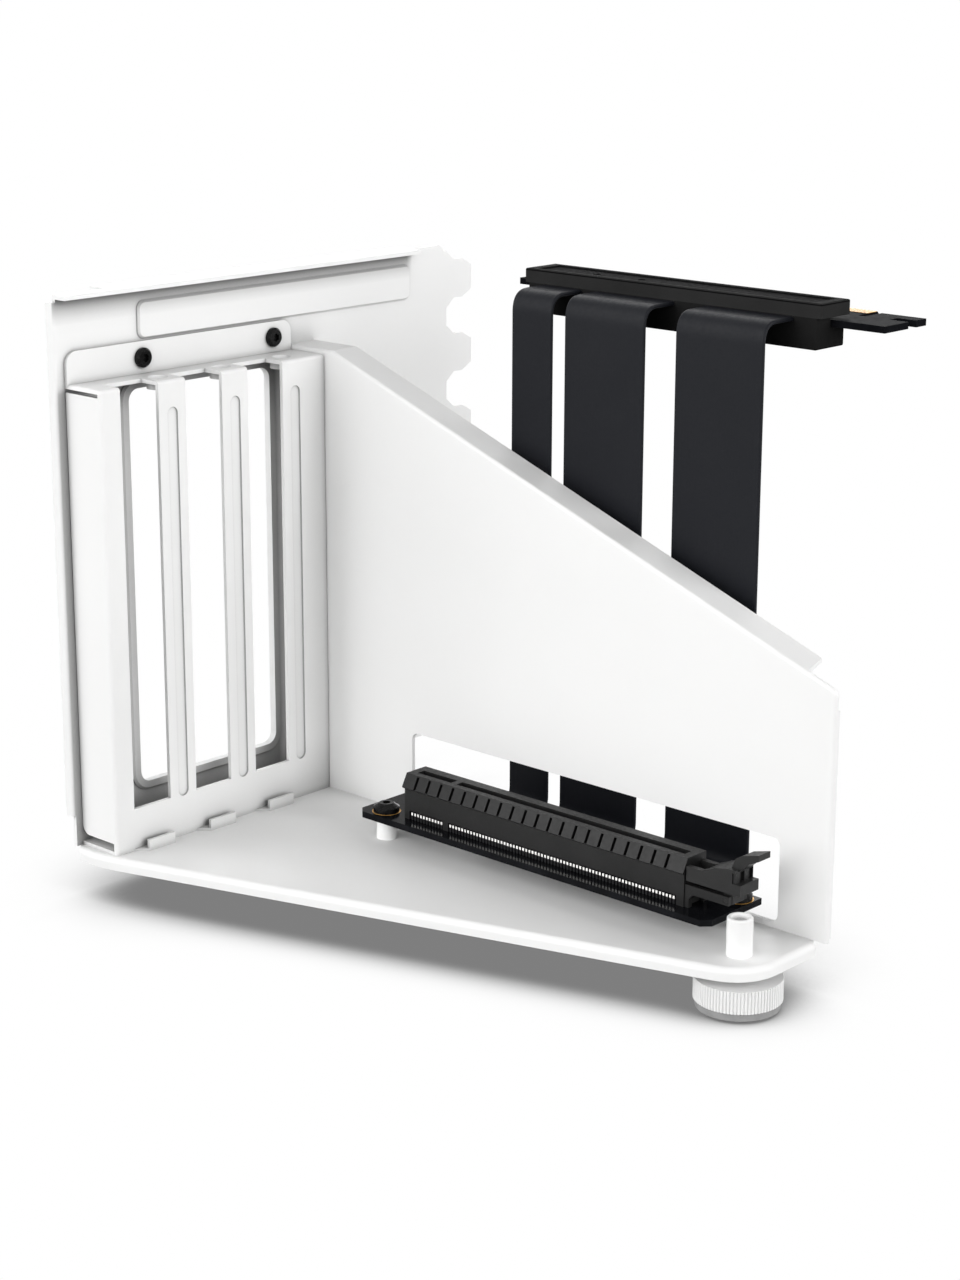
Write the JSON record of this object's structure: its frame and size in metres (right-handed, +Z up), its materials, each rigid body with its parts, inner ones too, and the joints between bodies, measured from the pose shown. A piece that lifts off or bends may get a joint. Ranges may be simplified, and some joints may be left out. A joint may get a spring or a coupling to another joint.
{
  "type": "vertical graphics card mount",
  "caption": "Folded white steel mount that stands a graphics card upright: slot cage, sloping panel, riser socket with latch, flat ribbon cables to an edge plug, adjustable foot.",
  "frame": {"origin": "on the rear plate's back face, in the plane of the side panel's front face, at the level of the base's top face", "axes": "+X forward from the rear plate along the card, +Y back through the side panel towards the ribbon cables, +Z up"},
  "size_m": [0.1809, 0.145, 0.1528],
  "materials": {
    "white_sheet": "satin white powder coat",
    "white_fixing": "satin white",
    "black_screw": "black oxide",
    "stud_steel": "bright",
    "foot_rubber": "matte grey",
    "board_black": "black solder mask",
    "socket_black": "moulded black",
    "contact_metal": "plated",
    "ribbon_black": "smooth black jacket",
    "shell_black": "fine matte black"
  },
  "bodies": {
    "frame": {"rear_plate": "white_sheet", "slot_cage": "white_sheet", "support_bracket": "white_sheet", "cage_screws": "black_screw", "foot_sleeve": "white_fixing", "board_standoffs": "white_fixing", "riser_board": "board_black", "board_screws": "black_screw", "slot_housing": "socket_black", "slot_contacts": "contact_metal", "ribbon_narrow": "ribbon_black", "ribbon_mid": "ribbon_black", "ribbon_wide": "ribbon_black", "plug_lower_shell": "shell_black", "plug_upper_shell": "shell_black", "plug_board": "board_black", "plug_fingers": "contact_metal", "plug_screws": "black_screw"},
    "latch": {"slot_latch": "socket_black"},
    "pad": {"foot_pad": "foot_rubber"},
    "knob": {"foot_knob": "white_fixing", "foot_stud": "stud_steel"}
  },
  "joints": [
    {"name": "latch_pivot", "type": "hinge", "parent": "frame", "child": "latch", "pos_m": [0.1596, -0.0144, 0.0115], "axis": [0, 1, 0], "range_deg": [0, 20]},
    {"name": "foot_travel", "type": "slide", "parent": "frame", "child": "pad", "axis": [0, 0, -1], "range_m": [-0.0007, 0.0059]},
    {"name": "knob_turn", "type": "hinge", "parent": "pad", "child": "knob", "pos_m": [0.1641, -0.018, 0], "axis": [0, 0, -1], "range_deg": [-361, 3035]}
  ],
  "couplings": [
    {"joint": "knob_turn", "follows": "foot_travel", "rad_per_m": 8976}
  ]
}
